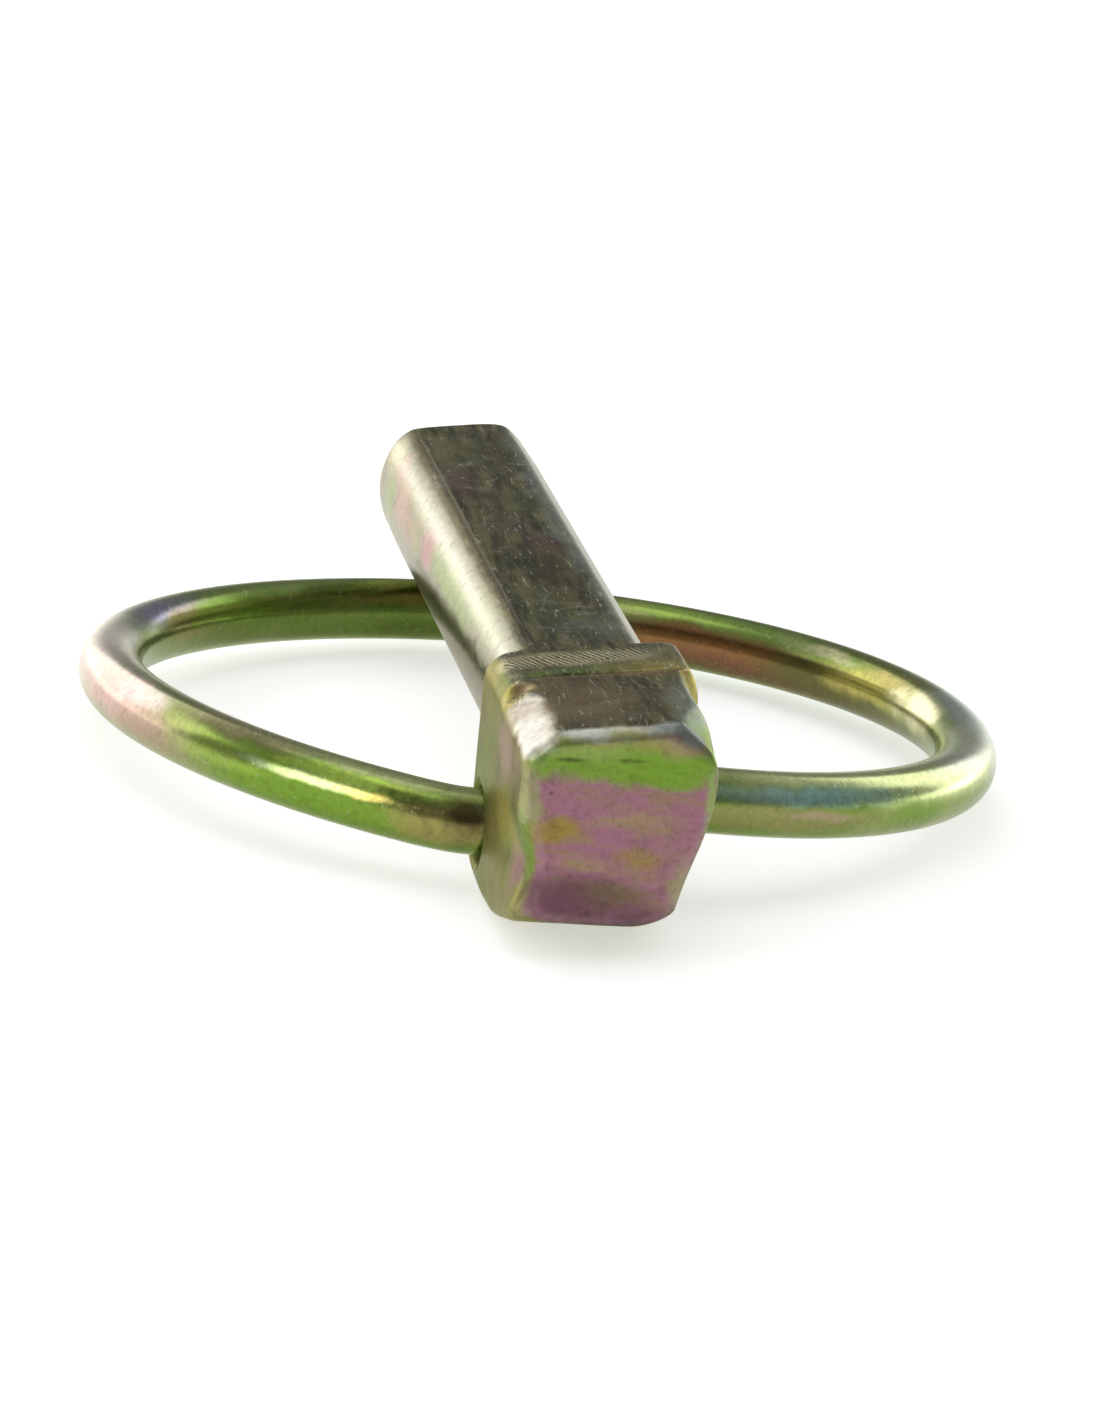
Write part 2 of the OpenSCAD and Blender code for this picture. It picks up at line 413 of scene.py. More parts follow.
# Shared effect: fine scratches that run mostly along one way, as a height and a mask.
scratch_tree, given = new_group(
    "fine_scratches", {"Place": "Vector", "Stretch": "Vector", "Amount": "Float"},
    {"Height": "Float", "Mask": "Float"},
)
drawn_out = vector_math(scratch_tree, "MULTIPLY", given["Place"], given["Stretch"])
grain = noise(scratch_tree, drawn_out, 1.0, 4.0, 0.65)["Fac"]
crossed = put(
    scratch_tree, "ShaderNodeMapping",
    {"Vector": given["Place"], "Rotation": (0.3, 0.5, 0.9), "Scale": (3.0, 0.5, 2.2)},
).outputs[0]
nick_mask = ramp(scratch_tree, noise(scratch_tree, crossed, 1.3, 5.0, 0.7)["Fac"], 0.60, 0.68)
put(scratch_tree, "NodeGroupOutput", {
    "Height": mix(scratch_tree, 0.3, grain, nick_mask),
    "Mask": times(scratch_tree, nick_mask, given["Amount"]),
})


def use_group(tree, group, inputs):
    return put(tree, "ShaderNodeGroup", inputs, node_tree=group).outputs


def patch(tree, place, strength, centre, size, softness):
    return use_group(tree, patch_tree, {
        "Place": place, "Centre": centre, "Size": size, "Softness": softness, "Strength": strength,
    })["Mask"]


def lay_tints(tree, place, colour, patches):
    """Lays soft patches of other tints over a colour, one over another."""
    for tint, strength, centre, size, softness in patches:
        mask = patch(tree, place, strength, centre, size, softness)
        colour = mix_colour(tree, mask, colour, (*TINTS[tint], 1))
    return colour


def lay_patches(tree, place, value, patches):
    """Raises a value to the strength of each soft patch."""
    for strength, centre, size, softness in patches:
        value = math_node(tree, "MAXIMUM", value, patch(tree, place, strength, centre, size, softness))
    return value


def in_millimetres(tree):
    """Place on the piece, in mm."""
    return scaled(tree, put(tree, "ShaderNodeTexCoord").outputs["Object"], 1 / MM)


def stirred(tree, place, cloud, amount):
    """Moves places about a little with a cloudy colour, so that patches get ragged outlines."""
    middle = vector_math(tree, "SUBTRACT", cloud["Color"], (0.5, 0.5, 0.5))
    return vector_math(tree, "ADD", place, vector_math(tree, "MULTIPLY", middle, amount))


def attribute(tree, name, output="Fac"):
    return put(tree, "ShaderNodeAttribute", attribute_name=name).outputs[output]


def new_finish(name):
    """Starts a material, and gives it with its node tree and its shader."""
    finish = bpy.data.materials.new(name)
    finish.use_nodes = True
    return finish, finish.node_tree, finish.node_tree.nodes["Principled BSDF"]


def emboss(tree, shader, relief):
    """Gives the surface a fine relief, from its height in mm."""
    bump = put(tree, "ShaderNodeBump", {"Height": relief, "Distance": MM, "Strength": 1.0})
    tree.links.new(bump.outputs["Normal"], shader.inputs["Normal"])


# The tints that the film shows in patches, from greys through golds, browns and pinks to greens. Some of
# the pale and bright ones also paint highlights, and a dark green paints shade, where noted.
TINTS = {
    "pale": (0.82, 0.79, 0.72),
    "silver": (0.55, 0.58, 0.53),
    "steel": (0.21, 0.23, 0.23),
    "pale_straw": (0.86, 0.80, 0.50),
    "straw": (0.68, 0.62, 0.38),
    "dull_straw": (0.42, 0.40, 0.29),
    "bright_gold": (0.80, 0.68, 0.19),
    "soft_gold": (0.50, 0.42, 0.24),
    "gold": (0.48, 0.40, 0.12),
    "old_gold": (0.29, 0.21, 0.05),
    "olive_gold": (0.32, 0.27, 0.09),
    "olive": (0.25, 0.24, 0.085),
    "dark_olive": (0.13, 0.12, 0.04),
    "bronze": (0.33, 0.25, 0.15),
    "dull_bronze": (0.20, 0.16, 0.09),
    "bright_rust": (0.27, 0.12, 0.055),
    "rust": (0.22, 0.11, 0.05),
    "dull_rust": (0.15, 0.08, 0.05),
    "brown": (0.07, 0.055, 0.018),
    "pale_pink": (0.80, 0.61, 0.55),
    "bright_pink": (0.60, 0.29, 0.33),
    "soft_pink": (0.62, 0.41, 0.35),
    "pink": (0.42, 0.28, 0.23),
    "rose": (0.31, 0.145, 0.195),
    "plum": (0.13, 0.06, 0.08),
    "violet_grey": (0.29, 0.27, 0.42),
    "teal": (0.36, 0.60, 0.54),
    "teal_grey": (0.45, 0.54, 0.52),
    "pale_lime": (0.54, 0.60, 0.29),
    "soft_lime": (0.38, 0.46, 0.20),
    "lime": (0.30, 0.36, 0.12),
    "spring_green": (0.42, 0.60, 0.10),
    "leaf": (0.24, 0.36, 0.09),
    "green": (0.17, 0.30, 0.035),
    "dark_green": (0.07, 0.11, 0.02),
    "moss": (0.09, 0.12, 0.045),
}

pin_chromate, tree, shader = new_finish("pin_chromate")
place = in_millimetres(tree)
ragged = stirred(tree, place, noise(tree, place, 0.35, 3.0), (2.4, 1.6, 2.4))
cloud = noise(tree, place, 0.16, 3.0, 0.55)["Fac"]
mottle = noise(tree, place, 0.9, 4.0, 0.6)["Fac"]
edge, hollow, pressed, front, rim, head = (
    attribute(tree, name) for name in ("edge", "hollow", "pressed", "front", "rim", "head")
)

# Film on the round shaft, then the head's sides, the pressed top and the front face.
SHAFT_FILM = (0.03, 0.18)
HEAD_FILM = (0.42, 0.66)
FLAT_DARK = (0.032, 0.036, 0.013, 1)
FLAT_LIGHT = (0.22, 0.21, 0.095, 1)
FLAT_HAIRLINE = (0.52, 0.47, 0.30, 1)
FRONT_RUBBED = (0.28, 0.18, 0.13, 1)
thickness = ramp(tree, cloud, 0.35, 0.65)
film = mix(tree, head, mix(tree, thickness, *SHAFT_FILM), mix(tree, thickness, *HEAD_FILM))
film = plus(tree, film, mix(tree, mottle, -0.05, 0.05), clamp=True)
colour = use_group(tree, film_tree, {"Film": film})["Color"]
streaks = drawn_noise(tree, place, (1.3, 0.16, 1.3), 0.9, 4.0, 0.6)
# The pressed top's very dark base partly paints the dark reflection it shows, over its darker film.
pressed_colour = mix_colour(tree, ramp(tree, streaks, 0.40, 0.62), FLAT_DARK, FLAT_LIGHT)
hairlines = drawn_noise(tree, place, (4.5, 0.45, 1.5), 1.0, 3.0, 0.7)
hairline_mask = times(tree, ramp(tree, hairlines, 0.54, 0.72), mix(tree, head, 0.35, 0.8))
pressed_colour = mix_colour(tree, hairline_mask, pressed_colour, FLAT_HAIRLINE)
colour = mix_colour(tree, pressed, colour, pressed_colour)
rubbed_across = drawn_noise(tree, place, (0.35, 1.0, 1.5), 1.0, 4.0, 0.6)
front_colour = mix_colour(
    tree, ramp(tree, rubbed_across, 0.40, 0.68), (*TINTS["rose"], 1), FRONT_RUBBED
)
colour = mix_colour(tree, front, colour, front_colour)

# A row is a tint, its strength, the middle and the reach of its patch, and how soft its edge is.
PIN_TINTS = (
    # Front face: green along its sides and under its upper edge, gold spots, plum below.
    ("leaf", 0.5, (-5.3, -17.5, -1.5), (0.35, 0.7, 4.2), 0.7),
    ("leaf", 0.8, (5.1, -17.5, -1.0), (0.5, 0.7, 4.0), 0.6),
    ("lime", 0.5, (4.0, -17.5, -6.5), (0.8, 0.7, 2.5), 0.6),
    ("green", 0.95, (-0.4, -17.5, 2.2), (6.2, 0.7, 1.4), 0.30),
    ("lime", 0.5, (-2.3, -17.5, 2.6), (2.4, 0.7, 0.5), 0.8),
    ("green", 0.8, (3.0, -17.5, 1.7), (2.4, 0.7, 0.9), 0.5),
    ("olive_gold", 0.7, (0.8, -17.5, 3.3), (5.0, 0.7, 0.55), 0.6),
    ("bronze", 0.7, (3.6, -17.5, 3.3), (1.6, 0.7, 0.7), 0.6),
    ("old_gold", 0.95, (-3.6, -17.5, -2.4), (1.5, 0.7, 0.65), 0.7),
    ("olive_gold", 0.5, (0.8, -17.5, -1.5), (2.2, 0.7, 0.5), 0.7),
    ("old_gold", 0.7, (1.3, -17.5, -3.6), (1.5, 0.7, 0.5), 0.7),
    ("olive_gold", 0.4, (-1.9, -17.5, -4.1), (1.5, 0.7, 0.4), 0.7),
    ("plum", 0.9, (-2.6, -17.5, -6.2), (3.2, 0.7, 1.2), 0.7),
    ("plum", 0.7, (1.8, -17.5, -7.3), (3.5, 0.7, 0.8), 0.7),
    ("dark_olive", 0.5, (0.2, -17.5, -5.9), (1.8, 0.7, 0.6), 0.8),
    ("pale_lime", 0.5, (-5.9, -17.1, 0.5), (0.35, 0.8, 3.2), 0.6),
    # Left side: olive foot, a pink spot by the front, a rusty flank above.
    ("olive", 0.9, (-6.0, -10.5, -7.5), (1.4, 6.0, 2.2), 0.5),
    ("pink", 0.9, (-6.2, -15.0, -5.0), (1.6, 1.5, 1.7), 0.5),
    ("bronze", 0.9, (-6.0, -12.5, -0.4), (1.2, 4.0, 2.0), 0.6),
    ("dull_bronze", 0.4, (-6.0, -9.5, -2.2), (1.0, 1.6, 1.0), 0.7),
    ("dull_bronze", 0.5, (-5.8, -14.5, 0.8), (1.2, 3.0, 1.6), 0.6),
    ("rose", 0.6, (-6.1, -15.2, -5.2), (1.6, 1.3, 1.3), 0.7),
    ("moss", 0.5, (-6.0, -8.6, -1.2), (1.0, 0.8, 2.6), 0.8),
    ("lime", 0.7, (-6.0, -13.0, -2.6), (1.0, 1.6, 1.6), 0.7),
    ("rust", 0.5, (-6.0, -13.6, 1.0), (1.0, 0.5, 1.6), 0.8),
    ("pink", 0.8, (-6.0, -10.5, 0.6), (1.0, 2.4, 1.2), 0.6),
    ("gold", 0.8, (-6.0, -12.0, -3.2), (1.0, 3.5, 1.5), 0.6),
    ("green", 0.5, (-6.0, -4.5, -1.5), (1.0, 1.6, 2.2), 0.6),
    # Facet, with a painted highlight on it, and the pocket behind it.
    ("pale", 0.95, (-5.1, -13.0, 3.1), (1.3, 4.6, 1.2), 0.3),
    ("pink", 0.5, (-5.5, -10.5, 2.9), (0.8, 1.1, 0.8), 0.5),
    ("gold", 0.9, (-5.2, -7.8, 3.3), (1.5, 1.3, 1.0), 0.4),
    ("rust", 0.8, (-4.7, -7.3, 3.5), (0.9, 0.6, 0.5), 0.6),
    # Band behind the seam, and the top before it.
    ("straw", 0.85, (-0.8, -2.6, 3.95), (6.0, 1.5, 0.9), 0.4),
    ("leaf", 0.6, (-1.5, -4.9, 4.0), (4.5, 0.6, 0.8), 0.5),
    ("gold", 0.8, (3.6, -5.2, 4.4), (2.4, 1.6, 1.0), 0.6),
    ("rust", 0.6, (0.5, -6.7, 4.2), (5.5, 0.5, 0.8), 0.5),
    ("gold", 0.7, (5.7, -6.5, 3.8), (0.8, 3.5, 1.2), 0.5),
    ("bronze", 0.9, (-1.3, -11.8, 3.8), (3.8, 4.2, 0.9), 0.6),
    ("dull_rust", 0.4, (-2.6, -10.0, 3.8), (1.6, 2.6, 0.8), 0.8),
    ("dark_olive", 0.4, (1.0, -14.6, 3.9), (3.2, 1.3, 0.8), 0.7),
    ("teal_grey", 0.45, (4.2, -13.0, 4.2), (1.3, 4.0, 1.0), 0.6),
    ("silver", 0.8, (-1.8, -17.1, 3.8), (3.6, 0.45, 0.7), 0.4),
    ("steel", 0.9, (3.6, -17.1, 4.0), (2.6, 0.5, 0.8), 0.5),
    ("leaf", 0.5, (5.4, -15.0, 2.4), (0.9, 2.5, 1.2), 0.5),
    # Shaft's left flank: pink and pale green bands, and a dull lower side.
    ("dull_straw", 0.7, (-4.3, 24.0, 2.9), (0.8, 30.0, 1.0), 0.5),
    ("dull_straw", 0.7, (-3.6, 14.0, -3.6), (1.2, 22.0, 1.2), 0.5),
    ("dull_bronze", 0.9, (-4.9, 13.0, -1.0), (1.4, 20.0, 1.9), 0.5),
    ("steel", 0.7, (4.8, 27.0, 2.6), (1.5, 32.0, 2.6), 0.3),
    ("bright_pink", 0.95, (-5.0, 30.5, 1.4), (1.2, 2.4, 1.1), 0.7),
    ("bright_pink", 0.6, (-5.1, 38.5, 0.9), (1.0, 1.6, 0.9), 0.8),
    ("soft_pink", 0.9, (-5.1, 42.8, 0.9), (0.9, 2.6, 1.4), 0.6),
    ("soft_pink", 0.7, (-4.7, 47.0, 2.4), (0.9, 2.2, 1.1), 0.6),
    ("soft_lime", 0.9, (-5.1, 47.6, 0.4), (0.9, 2.0, 1.2), 0.6),
    ("soft_lime", 0.95, (-4.9, 21.0, 1.6), (0.9, 8.0, 1.0), 0.6),
    ("soft_lime", 0.6, (-4.5, 10.0, 2.6), (0.9, 5.0, 0.8), 0.6),
    ("straw", 0.7, (-4.6, 50.2, 2.5), (0.9, 2.0, 1.0), 0.6),
    ("soft_gold", 0.6, (-5.1, 36.0, 1.2), (0.9, 2.6, 1.2), 0.6),
    # Pressed flat: green and plum tints.
    ("plum", 0.8, (-2.2, 39.0, 3.8), (1.3, 3.5, 0.6), 0.7),
    ("plum", 0.7, (1.3, 23.5, 4.2), (1.4, 2.2, 0.6), 0.6),
    ("dull_rust", 0.7, (1.0, 21.0, 4.2), (1.2, 1.5, 0.6), 0.6),
    ("plum", 0.6, (-0.6, 28.0, 4.1), (1.2, 2.6, 0.6), 0.6),
    ("moss", 0.7, (-0.9, 9.0, 4.0), (1.8, 5.0, 0.6), 0.7),
    ("moss", 0.6, (0.6, 45.0, 4.0), (2.0, 4.0, 0.6), 0.7),
    ("moss", 0.5, (0.8, 33.0, 4.1), (1.6, 3.0, 0.6), 0.7),
    ("steel", 0.5, (1.2, 3.5, 4.2), (2.4, 2.5, 0.6), 0.7),
    ("teal_grey", 0.45, (2.9, 30.0, 4.3), (0.8, 24.0, 0.6), 0.8),
    ("brown", 0.5, (1.2, 45.0, 4.2), (1.6, 4.0, 0.6), 0.7),
    ("brown", 0.5, (-1.5, 31.0, 4.0), (1.2, 5.0, 0.6), 0.7),
    ("brown", 0.6, (0.8, 15.0, 4.2), (1.6, 4.5, 0.6), 0.7),
)
colour = lay_tints(tree, ragged, colour, PIN_TINTS)
# Straight marks along the flat's left edge: a painted highlight on the flank, a dull strip of painted dark
# reflection, and a thin worn line.
FLAT_EDGE_SHEEN_AND_WEAR = (
    ("pale", 0.5, (-4.5, 22.0, 2.7), (0.6, 26.0, 0.7), 0.9),
    ("dull_bronze", 0.8, (-3.4, 32.0, 3.7), (0.45, 26.0, 0.5), 0.3),
    ("dull_straw", 0.8, (-3.05, 32.0, 3.75), (0.10, 24.0, 0.5), 0.6),
)
colour = lay_tints(tree, place, colour, FLAT_EDGE_SHEEN_AND_WEAR)

# Dark patches: painted shade along the shaft's lower left side, where it reflects a dark band, and in the
# pocket; a darker band at the bottom of the front face and a darker patch on the head's top. Then small
# marks on the front face, all as strength, middle, reach and softness.
SHADE_AND_DARK_PATCHES = (
    # Painted dark reflection along the shaft's lower left side.
    (0.55, (-5.2, 27.0, -0.2), (0.6, 7.0, 0.45), 0.5),
    (0.50, (-5.2, 11.0, 0.7), (0.6, 10.0, 0.30), 0.5),
    # Painted shade in the pocket.
    (0.45, (-5.0, -8.2, 3.3), (0.8, 1.0, 0.5), 0.5),
    (0.35, (0.5, -17.5, -8.0), (6.0, 0.6, 0.7), 0.6),
    (0.25, (1.2, -11.5, 4.2), (1.6, 2.8, 0.6), 0.5),
)
SMALL_MARKS_AND_SHADOWS = (
    # The first two are painted shadows under small lips on the front face; the other two are marks.
    (0.60, (-3.3, -17.5, 2.05), (0.75, 0.5, 0.13), 0.8),
    (0.45, (0.2, -17.5, 2.15), (0.80, 0.5, 0.12), 0.8),
    (0.50, (-4.3, -17.5, 0.0), (0.14, 0.5, 0.13), 0.8),
    (0.55, (-5.7, -17.1, -5.1), (0.4, 0.5, 0.12), 0.7),
)
# Painted shade in the hollows, then the dark patches and the small marks over it.
darkening = lay_patches(tree, ragged, times(tree, hollow, 0.30), SHADE_AND_DARK_PATCHES)
darkening = lay_patches(tree, place, darkening, SMALL_MARKS_AND_SHADOWS)
darkening = plus(tree, darkening, ramp(tree, mottle, 0.52, 0.80, 0.0, 0.35), clamp=True)

# Tool marks across the flat at the shoulder: short slanted ribs, with painted shade between them.
SERRATION_PITCH = 0.39
SERRATION_SLANT = 0.5
uneven = stirred(tree, place, noise(tree, place, 0.8, 3.0), (0.25, 0.6, 0.2))
parts = put(tree, "ShaderNodeSeparateXYZ", {0: uneven}).outputs
slanted = plus(tree, parts["X"], times(tree, parts["Y"], SERRATION_SLANT))
wave = math_node(tree, "SINE", times(tree, slanted, 2 * math.pi / SERRATION_PITCH))
level = math_node(tree, "SUBTRACT", parts["Y"], times(tree, parts["X"], 0.15))
rib_place = put(tree, "ShaderNodeCombineXYZ", {"X": parts["X"], "Y": level, "Z": parts["Z"]}).outputs[0]
ribbed = times(tree, patch(tree, rib_place, 1.0, (-0.8, -2.3, 3.95), (5.6, 1.15, 1.3), 0.12), pressed)
ribs = times(tree, wave, ribbed)
# Painted shade between the ribs.
darkening = plus(tree, darkening, ramp(tree, ribs, 0.0, 0.8, 0.0, 0.9), clamp=True)
speckle = noise(tree, place, 2.4, 3.0, 0.7)["Fac"]
darkening = plus(tree, darkening, ramp(tree, speckle, 0.40, 0.75, 0.0, 0.24), clamp=True)

# Bare zinc: rubbed edges, fine straight scratches, and curved ones on the pressed top,
# where a swirling noise crosses its middle value.
SWIRLS = ((0.28, 0.22), (0.60, 0.20))
bare = times(tree, edge, ramp(tree, mottle, 0.35, 0.60, 0.02, 0.22))
bare = times(tree, bare, mix(tree, rim, 1.0, 0.4))
for swirl_size, swirl_strength in SWIRLS:
    swirl = noise(tree, place, swirl_size, 1.5, 0.45)["Fac"]
    off_line = math_node(tree, "ABSOLUTE", math_node(tree, "SUBTRACT", swirl, 0.5))
    line = times(tree, ramp(tree, off_line, 0.0, 0.015, 1.0, 0.0), pressed)
    line = times(tree, line, ramp(tree, cloud, 0.42, 0.58, 0.0, swirl_strength))
    bare = plus(tree, bare, line, clamp=True)
scratches = use_group(
    tree, scratch_tree, {"Place": place, "Stretch": (2.2, 0.35, 2.2), "Amount": 0.5}
)
bare = plus(tree, bare, times(tree, scratches["Mask"], pressed), clamp=True)
colour = use_group(tree, wear_and_darkening_tree, {"Color": colour, "Bare": bare, "Darkening": darkening})["Color"]
tree.links.new(colour, shader.inputs["Base Color"])
SHAFT_ROUGHNESS = 0.27
HEAD_ROUGHNESS = 0.42
FLAT_ROUGHNESS = 0.34
sides_roughness = mix(tree, head, SHAFT_ROUGHNESS, HEAD_ROUGHNESS)
tree.links.new(mix(tree, pressed, sides_roughness, FLAT_ROUGHNESS), shader.inputs["Roughness"])
shader.inputs["Metallic"].default_value = 1.0
# Grazing light stays coloured and dull, as on a thin chromate film over zinc.
shader.inputs["Specular Tint"].default_value = (0.81, 0.80, 0.72, 1)

# Relief in mm: the ribs, the brushing that is deepest on the flat, and a slight unevenness.
RIB_HEIGHT = 0.012
SIDE_BRUSHING = 0.012
FLAT_BRUSHING = 0.035
UNEVENNESS = 0.012
brushed = use_group(
    tree, scratch_tree, {"Place": place, "Stretch": (6.0, 0.5, 3.0), "Amount": 1.0}
)
brushing = times(tree, brushed["Height"], mix(tree, pressed, SIDE_BRUSHING, FLAT_BRUSHING))
relief = plus(tree, times(tree, ribs, RIB_HEIGHT), brushing)
emboss(tree, shader, plus(tree, relief, times(tree, mottle, UNEVENNESS)))

forged_pin.data.materials.clear()
forged_pin.data.materials.append(pin_chromate)
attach(forged_pin, "pin")
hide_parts("pin")

# ---------------------------------------------------------------------------
# Spring ring. Drawn 4 mm spring wire, bent into an almost closed ring in two
# halves that are alike under a half turn, with its ends sprung into the holes of
# the head. The same plating as the pin, on a smoother and glossier surface.
WIRE_D = 4.0
WIRE_SIDES = 56
RING_R = 26.85
RING_AIR = 0.35
POINT_STEP = 0.4
ARC_RISE = math.radians(2.8)
FAR_TWIST = math.radians(0.8)
END_STRAIGHT = 0.5
EASED_END = 5.6
END_INSIDE = 2.95
END_ZONE = 9
END_EASINGS = 30
RING_TURN = math.radians(3.2)
RING_YAW = math.radians(3.6)


def bend(start, way, inward, angle):
    """Points along one bend of the wire, then its direction and inward side at the end."""
    turns = np.linspace(0, angle, int(angle * RING_R / POINT_STEP))[1:, None]
    points = start + RING_R * (np.sin(turns) * way + (1 - np.cos(turns)) * inward)
    end_way = math.cos(angle) * way + math.sin(angle) * inward
    return points, end_way, math.cos(angle) * inward - math.sin(angle) * way


def twist(way, inward, angle):
    """Turns the bend's inward side about the wire."""
    return math.cos(angle) * inward + math.sin(angle) * np.cross(way, inward)


def half_ring(end_x):
    """Right half of the ring, from its far point round to end_x from the middle."""
    way = np.array([math.cos(ARC_RISE), 0, math.sin(ARC_RISE)])
    inward = twist(way, np.array([0, -1.0, 0]), FAR_TWIST)
    far_point = np.zeros((1, 3))
    far, way, inward = bend(far_point[0], way, inward, math.pi / 2)
    near_angle = math.pi / 2 - math.asin(end_x / RING_R)
    near, way, inward = bend(far[-1], way, twist(way, inward, -2 * ARC_RISE), near_angle)
    return np.vstack([far_point, far, near])


# The two ends lie on the hinge line, which sets how far the ring reaches and how it is tilted.
elbow = half_ring(HALF_BAND + END_STRAIGHT)[-1]
far_reach = -elbow[1]
end_rise = math.atan2(elbow[2], elbow[0])
ring_tilt = math.asin((SHAFT_R + RING_AIR + WIRE_D / 2 + HINGE_SPOT[2]) / far_reach)

# One half runs round to its end in the hole, and the other is the same by a half turn.
half = half_ring(EASED_END) + (0, far_reach, 0)
inner_end = END_INSIDE * np.array([math.cos(end_rise), 0, math.sin(end_rise)])
straight = np.linspace(half[-1], inner_end, 8)[1:]
half = np.vstack([half, straight])
wire_line = np.vstack([(half * (-1, 1, -1))[:0:-1], half])
# The turn into each end is eased, as wire bends.
for _ in range(END_EASINGS):
    ends = np.abs(np.hypot(wire_line[:, 0], wire_line[:, 2])) < END_ZONE
    ends &= wire_line[:, 1] < END_ZONE
    ends[:3] = ends[-3:] = False
    eased = wire_line.copy()
    eased[1:-1] = (wire_line[:-2] + 2 * wire_line[1:-1] + wire_line[2:]) / 4
    wire_line[ends] = eased[ends]
placing = (
    Matrix.Translation(HINGE_SPOT)
    @ Matrix.Rotation(-RING_YAW, 4, "Z")
    @ Matrix.Rotation(RING_TURN, 4, "Y")
    @ Matrix.Rotation(-ring_tilt, 4, "X")
)
wire_line = [placing @ Vector(spot) * MM for spot in wire_line]
line_mesh = bpy.data.meshes.new("wire_line")
line_mesh.from_pydata(wire_line, [(k, k + 1) for k in range(len(wire_line) - 1)], [])
spring_wire = bpy.data.objects.new("spring_wire", line_mesh)
bpy.context.scene.collection.objects.link(spring_wire)

# The tree draws a round section along that line, and marks how far along each point is
# and which way it faces.
drawn, given = new_group(
    "drawn_wire",
    {"Geometry": "Geometry", "Wire Diameter": "Float", "Sides": "Int", "Finish": "Material"},
    {"Geometry": "Geometry"},
    "GeometryNodeTree",
)
line = put(drawn, "GeometryNodeMeshToCurve", {"Mesh": given["Geometry"]})
upright = put(drawn, "GeometryNodeSetCurveNormal", {"Curve": line.outputs["Curve"]}, mode="Z_UP")
part_way = put(drawn, "GeometryNodeSplineParameter")
marked = put(
    drawn, "GeometryNodeStoreNamedAttribute",
    {"Geometry": upright.outputs["Curve"], "Name": "along", "Value": part_way.outputs["Length"]},
    data_type="FLOAT", domain="POINT",
)
section = put(
    drawn, "GeometryNodeCurvePrimitiveCircle",
    {"Resolution": given["Sides"], "Radius": math_node(drawn, "DIVIDE", given["Wire Diameter"], 2.0)},
)
spot = put(drawn, "GeometryNodeInputPosition").outputs["Position"]
side = put(drawn, "ShaderNodeVectorMath", {0: spot}, operation="NORMALIZE").outputs["Vector"]
faced = put(
    drawn, "GeometryNodeStoreNamedAttribute",
    {"Geometry": section.outputs["Curve"], "Name": "facing", "Value": scaled(drawn, side, -1.0)},
    data_type="FLOAT_VECTOR", domain="POINT",
)
swept = put(
    drawn, "GeometryNodeCurveToMesh",
    {"Curve": marked.outputs["Geometry"], "Profile Curve": faced.outputs["Geometry"], "Fill Caps": True},
)
smooth = put(drawn, "GeometryNodeSetShadeSmooth", {"Geometry": swept.outputs["Mesh"]})
whole = put(drawn, "GeometryNodeRealizeInstances", {"Geometry": smooth.outputs["Geometry"]})
plated = put(
    drawn, "GeometryNodeSetMaterial",
    {"Geometry": whole.outputs["Geometry"], "Material": given["Finish"]},
)
put(drawn, "NodeGroupOutput", {"Geometry": plated.outputs["Geometry"]})

RING_FILM = (0.62, 0.84)
WIRE_ROUGHNESS = 0.23
SCRATCH_ROUGHNESS = 0.4
WIRE_RELIEF = 0.010
ring_chromate, tree, shader = new_finish("ring_chromate")
# A place on the wire is its way along it in mm, then how far it faces up and outwards.
facing = put(tree, "ShaderNodeSeparateXYZ", {0: attribute(tree, "facing", "Vector")}).outputs
along = times(tree, attribute(tree, "along"), 1 / MM)
on_wire = put(tree, "ShaderNodeCombineXYZ", {"X": along, "Y": facing["Y"], "Z": facing["X"]}).outputs[0]
place = in_millimetres(tree)
ragged = stirred(tree, on_wire, noise(tree, place, 0.45, 3.0), (5.0, 0.5, 0.5))
cloud = noise(tree, place, 0.11, 2.0)["Fac"]
mottle = noise(tree, place, 0.8, 4.0, 0.6)["Fac"]
film = mix(tree, ramp(tree, cloud, 0.3, 0.7), *RING_FILM)
film = plus(tree, film, mix(tree, mottle, -0.10, 0.10), clamp=True)
colour = use_group(tree, film_tree, {"Film": film})["Color"]
